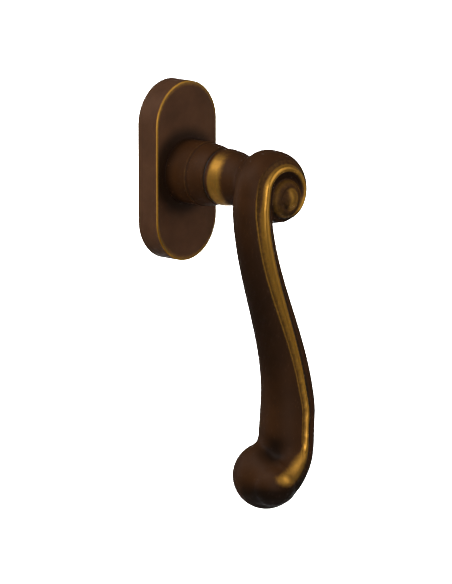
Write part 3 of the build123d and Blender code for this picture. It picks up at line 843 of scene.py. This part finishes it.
def antique_brass(name, finish, patina):
    """Cast brass, oxidised brown and rubbed back by hand: satin patina, and brighter, smoother gold
    where the wear attribute is high; the darkness attribute lays deep patina in the creases and painted shade
    on undersides and round the collar."""
    material, tree, shader = new_material(name)
    where = add(tree, "ShaderNodeTexCoord")
    worn = add(tree, "ShaderNodeAttribute", {"attribute_name": "wear"})
    dark = add(tree, "ShaderNodeAttribute", {"attribute_name": "shade_and_patina"})
    clouds = add(tree, "ShaderNodeTexNoise", {"Scale": 1 / (CLOUDS * MM), "Detail": 3.0, "Roughness": 0.55},
                 {"Vector": where.outputs["Object"]})
    mottle = add(tree, "ShaderNodeTexNoise", {"Scale": 1 / (MOTTLE * MM), "Detail": 4.0, "Roughness": 0.6},
                 {"Vector": where.outputs["Object"]})
    # The worn edge is ragged: the mottle, less its middle value, is added to the attribute before the
    # sum is sharpened into the share of gold.
    ragged = add(tree, "ShaderNodeMath", {"operation": "MULTIPLY_ADD", 1: 0.30, 2: -0.15},
                 {0: mottle.outputs["Fac"]})
    amount = add(tree, "ShaderNodeMath", {"operation": "ADD"}, {0: worn.outputs["Fac"], 1: ragged.outputs[0]})
    gold = add(tree, "ShaderNodeMapRange",
               {"interpolation_type": "SMOOTHSTEP", "From Min": 0.06, "From Max": 0.95, "To Max": finish.wear},
               {"Value": amount.outputs[0]})
    # Colour: the clouds darken the patina by up to a third, the darkness attribute's patina and painted shade
    # by up to 85%, and gold lies over both.
    tone = add(tree, "ShaderNodeMapRange", {"From Min": 0.3, "From Max": 0.7, "To Min": 0.0, "To Max": 0.35},
               {"Value": clouds.outputs["Fac"]})
    brown = add(tree, "ShaderNodeMix", {"data_type": "RGBA", 6: linear(patina), 7: linear(finish.deep_patina_and_shade)},
                {0: tone.outputs[0]})
    shade = add(tree, "ShaderNodeMath", {"operation": "MULTIPLY", 1: 0.85}, {0: dark.outputs["Fac"]})
    shaded_brown = add(tree, "ShaderNodeMix", {"data_type": "RGBA", 7: linear(finish.deep_patina_and_shade)},
                  {0: shade.outputs[0], 6: brown.outputs[2]})
    colour = add(tree, "ShaderNodeMix", {"data_type": "RGBA", 7: linear(finish.worn)},
                 {0: gold.outputs[0], 6: shaded_brown.outputs[2]})
    # Gloss: satin patina and smoother gold, both roughened by the mottle, over a slightly uneven skin.
    rough = add(tree, "ShaderNodeMapRange", {"To Min": 0.52, "To Max": 0.32}, {"Value": gold.outputs[0]})
    rough_mottle = add(tree, "ShaderNodeMath", {"operation": "MULTIPLY_ADD", 1: 0.10},
                       {0: mottle.outputs["Fac"], 2: rough.outputs[0]})
    skin = add(tree, "ShaderNodeBump", {"Strength": 0.08, "Distance": 0.2 * MM},
               {"Height": mottle.outputs["Fac"]})
    # The oxide is a matt film that hides the metal; where it has gone the brass shines through.
    bare = add(tree, "ShaderNodeMapRange", {"To Min": 0.0, "To Max": 0.95}, {"Value": gold.outputs[0]})
    feed(tree, shader, {
        "Base Color": colour.outputs[2],
        "Roughness": rough_mottle.outputs[0],
        "Normal": skin.outputs["Normal"],
        "Metallic": bare.outputs[0],
    })
    shader.inputs["Specular IOR Level"].default_value = 0.12
    return material


def plain_metal(name, light, dark, roughness, grain_mm, stretch=(1, 1, 1)):
    """Metal fittings: two close tones mixed by a grain of the given size, which also varies the gloss and
    raises the surface slightly. The stretch is how many times finer the grain is along each axis."""
    material, tree, shader = new_material(name)
    where = add(tree, "ShaderNodeTexCoord")
    stretched = add(tree, "ShaderNodeMapping", {"Scale": stretch}, {"Vector": where.outputs["Object"]})
    grain = add(tree, "ShaderNodeTexNoise", {"Scale": 1.0 / (grain_mm * MM), "Detail": 3.0},
                {"Vector": stretched.outputs[0]})
    colour = add(tree, "ShaderNodeMix", {"data_type": "RGBA", 6: linear(light), 7: linear(dark)},
                 {0: grain.outputs["Fac"]})
    rough = add(tree, "ShaderNodeMapRange", {"To Min": roughness - 0.06, "To Max": roughness + 0.08},
                {"Value": grain.outputs["Fac"]})
    bump = add(tree, "ShaderNodeBump", {"Strength": 0.1, "Distance": 0.1 * MM},
               {"Height": grain.outputs["Fac"]})
    feed(tree, shader, {
        "Base Color": colour.outputs[2], "Roughness": rough.outputs[0], "Normal": bump.outputs["Normal"],
    })
    shader.inputs["Metallic"].default_value = 1.0
    return material


def acetal(name):
    """Dark brown acetal, moulded: a faintly mottled, matt plastic the colour of the patina."""
    material, tree, shader = new_material(name)
    where = add(tree, "ShaderNodeTexCoord")
    mottle = add(tree, "ShaderNodeTexNoise", {"Scale": 1 / (2.0 * MM), "Detail": 2.0},
                 {"Vector": where.outputs["Object"]})
    colour = add(tree, "ShaderNodeMix", {"data_type": "RGBA", 6: linear("#24160e"), 7: linear("#2e1d13")},
                 {0: mottle.outputs["Fac"]})
    rough = add(tree, "ShaderNodeMapRange", {"To Min": 0.52, "To Max": 0.62}, {"Value": mottle.outputs["Fac"]})
    feed(tree, shader, {"Base Color": colour.outputs[2], "Roughness": rough.outputs[0]})
    shader.inputs["IOR"].default_value = 1.48
    return material


def coat_with(thing, material):
    """Give an object this material in place of those it has."""
    thing.data.materials.clear()
    thing.data.materials.append(material)


# ---------------- operators

class HANDLE_OT_lever(bpy.types.Operator):
    """Make the cast scroll lever and its journal"""

    bl_idname = "handle.lever"
    bl_label = "Cast lever"

    def execute(self, context):
        settings, finish = context.scene.handle_lever, context.scene.handle_finish
        skin = new_piece("lever_cast", cast_lever(settings), "handle", ["lever"], 180.0)
        coat_with(skin, antique_brass("Antique brass, cast", finish, finish.patina))
        journal = new_piece("lever_journal", lever_journal(), "handle", ["lever"])
        coat_with(journal, plain_metal("Machined brass", "#c9a45c", "#b08a48", 0.30, 0.6, (1, 6, 1)))
        return {"FINISHED"}


class HANDLE_OT_rose(bpy.types.Operator):
    """Make the rose's cast cap"""

    bl_idname = "handle.rose"
    bl_label = "Rose cap"

    def execute(self, context):
        settings, finish = context.scene.handle_rose, context.scene.handle_finish
        cap = new_piece("rose_cap", rose_mesh(settings), "rose", ["rosette_cover"])
        coat_with(cap, antique_brass("Antique brass, rose", finish, finish.rose_patina))
        return {"FINISHED"}


class HANDLE_OT_collar(bpy.types.Operator):
    """Make the turned collar"""

    bl_idname = "handle.collar"
    bl_label = "Turned collar"

    def execute(self, context):
        settings, finish = context.scene.handle_collar, context.scene.handle_finish
        piece = new_piece("collar_turned", collar_mesh(settings), "rose", ["collar"])
        coat_with(piece, antique_brass("Antique brass, turned", finish, finish.patina))
        return {"FINISHED"}


class HANDLE_OT_fittings(bpy.types.Operator):
    """Finish the base plate, detent, spindle, screws and washers"""

    bl_idname = "handle.fittings"
    bl_label = "Fittings"

    def execute(self, context):
        zinc = plain_metal("Zinc casting, tumbled", "#a9abad", "#8b8e91", 0.48, 0.8)
        plated = plain_metal("Zinc-plated steel", "#b9bcc0", "#9da1a6", 0.34, 0.5)
        spring = plain_metal("Spring steel, blued", "#6d7076", "#50545b", 0.28, 0.4, (6, 6, 1))
        plastic = acetal("Acetal, dark brown")
        finishes = [
            (zinc, ["base_plate", "detent_cam"]),
            (plated, ["mechanism_plate", "plate_rivets", "fixing_screws"]),
            (plated, ["spindle", "spindle_pin", "thrust_washer"]),
            (spring, ["detent_springs", "retaining_ring"]),
            (plastic, ["journal_bush", "glide_washer"]),
        ]
        for material, nodes in finishes:
            for node in nodes:
                coat_with(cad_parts[node], material)
        return {"FINISHED"}


def softbox(name, place_of, target, size, power, spread=180):
    """An area light that faces the target, its light kept within a spread in degrees."""
    lamp = bpy.data.lights.new(name, "AREA")
    lamp.shape, lamp.size, lamp.size_y = "RECTANGLE", size[0], size[1]
    lamp.energy, lamp.spread = power, math.radians(spread)
    holder = bpy.data.objects.new(name, lamp)
    bpy.context.scene.collection.objects.link(holder)
    holder.location = place_of
    holder.rotation_mode = "QUATERNION"
    towards = np.array(target) - np.array(place_of)
    holder.rotation_quaternion = Vector(towards).to_track_quat("-Z", "Y")


def sweep(name, low, reach, rise):
    """Pale floor that curves up behind the handle: a flat run, a quarter circle and an upright."""
    radius = reach * 0.35
    turn = np.radians(np.linspace(-90, 0, 24))
    run = np.linspace(-reach * 0.8, reach * 0.4, 4)
    along = np.concatenate([[-reach], run, reach * 0.5 + radius * np.cos(turn)])
    up = np.concatenate([np.full(5, low), low + radius + radius * np.sin(turn)])
    along, up = np.append(along, along[-1]), np.append(up, low + rise)
    sides = np.array([-2.0, 2.0]) * reach
    heading = bpy.context.scene.handle_stage.azimuth
    away = np.array([-math.sin(heading), math.cos(heading)])
    right = np.array([math.cos(heading), math.sin(heading)])
    flat = along[:, None, None] * away + sides[None, :, None] * right
    points = np.concatenate([flat, np.broadcast_to(up[:, None, None], flat.shape[:2] + (1,))], axis=2)
    count = len(along)
    faces = [[2 * k, 2 * k + 1, 2 * k + 3, 2 * k + 2] for k in range(count - 1)]
    mesh = bpy.data.meshes.new(name)
    mesh.from_pydata(points.reshape(-1, 3), [], faces)
    mesh.shade_smooth()
    floor = bpy.data.objects.new(name, mesh)
    bpy.context.scene.collection.objects.link(floor)
    return floor


# The camera's aim from the frame's origin, to its right and upwards, in metres.
AIM_RIGHT, AIM_RISE = 0.02225, -0.04783

# Softboxes: place from the aim along the camera's right, up and back in metres, size, and watts.
SOFTBOXES = {
    "key": ((-0.38, 0.58, 0.42), (0.7, 0.7), 3.8),
    "side": ((-0.80, 0.30, -0.25), (0.3, 0.8), 1.35),
    "front": ((0.05, -0.05, 0.90), (0.5, 0.5), 2.6),
    "fill": ((0.75, 0.25, 0.30), (0.5, 0.9), 1.9),
}


class HANDLE_OT_stage(bpy.types.Operator):
    """Set the pale floor, the soft lights and the camera"""

    bl_idname = "handle.stage"
    bl_label = "Stage"

    def execute(self, context):
        scene, settings = context.scene, context.scene.handle_stage
        floor = sweep("floor", CAD_BOX[0][2] - settings.floor_drop, reach=3.0, rise=3.6)
        paper, _, shader = new_material("Pale paper")
        shader.inputs["Base Color"].default_value = linear("#fbfbfa")
        shader.inputs["Roughness"].default_value = 0.9
        coat_with(floor, paper)

        world = bpy.data.worlds.new("Soft room")
        world.use_nodes = True
        world.node_tree.nodes["Background"].inputs["Color"].default_value = (1.0, 1.0, 1.0, 1.0)
        world.node_tree.nodes["Background"].inputs["Strength"].default_value = 0.06
        scene.world = world

        a, e = settings.azimuth, settings.elevation
        back = np.array([math.sin(a) * math.cos(e), -math.cos(a) * math.cos(e), math.sin(e)])
        right = np.array([math.cos(a), math.sin(a), 0.0])
        rise = np.cross(back, right)
        aim = AIM_RIGHT * right + AIM_RISE * rise
        for name, (offset, size, power) in SOFTBOXES.items():
            softbox(name, aim + offset @ np.array([right, rise, back]), aim, size, power)
        # One more lamp faces away from the handle and brightens the paper far behind it.
        backdrop = aim - 2.4 * back
        softbox("paper light", backdrop + 0.9 * rise + 0.9 * back, backdrop, (0.7, 0.4), 25.0, spread=65)

        lens = bpy.data.cameras.new("camera")
        lens.lens = settings.lens
        camera = bpy.data.objects.new("camera", lens)
        scene.collection.objects.link(camera)
        camera.location = aim + settings.distance * back
        camera.rotation_mode = "QUATERNION"
        camera.rotation_quaternion = Vector(-back).to_track_quat("-Z", "Y")
        lens.clip_start, lens.clip_end = 0.05, 20.0
        scene.camera = camera
        scene.view_settings.view_transform = "Standard"
        return {"FINISHED"}


class HANDLE_PT_panel(bpy.types.Panel):
    """Sidebar list of the handle's pieces"""

    bl_idname = "HANDLE_PT_panel"
    bl_label = "Scroll window handle"
    bl_space_type = "VIEW_3D"
    bl_region_type = "UI"
    bl_category = "Handle"

    def draw(self, context):
        for operator, group in STEPS:
            self.layout.operator(operator.bl_idname)
            settings = getattr(context.scene, group)
            for name in type(settings).__annotations__:
                self.layout.prop(settings, name)


GROUPS = {
    "handle_rose": RoseSettings,
    "handle_collar": CollarSettings,
    "handle_lever": LeverSettings,
    "handle_finish": FinishSettings,
    "handle_stage": StageSettings,
}
STEPS = [
    (HANDLE_OT_lever, "handle_lever"),
    (HANDLE_OT_collar, "handle_collar"),
    (HANDLE_OT_rose, "handle_rose"),
    (HANDLE_OT_fittings, "handle_finish"),
    (HANDLE_OT_stage, "handle_stage"),
]


def register():
    """Register the settings on the scene, then the operators and the panel."""
    for name, group in GROUPS.items():
        bpy.utils.register_class(group)
        setattr(bpy.types.Scene, name, bpy.props.PointerProperty(type=group))
    for operator, _ in STEPS:
        bpy.utils.register_class(operator)
    bpy.utils.register_class(HANDLE_PT_panel)


def unregister():
    """Take away what register added, in the opposite order."""
    bpy.utils.unregister_class(HANDLE_PT_panel)
    for operator, _ in STEPS:
        bpy.utils.unregister_class(operator)
    for name, group in GROUPS.items():
        delattr(bpy.types.Scene, name)
        bpy.utils.unregister_class(group)


def main():
    """Make all the pieces and the stage."""
    register()
    bpy.ops.handle.lever()
    bpy.ops.handle.collar()
    bpy.ops.handle.rose()
    bpy.ops.handle.fittings()
    bpy.ops.handle.stage()


if __name__ == "__main__":
    main()
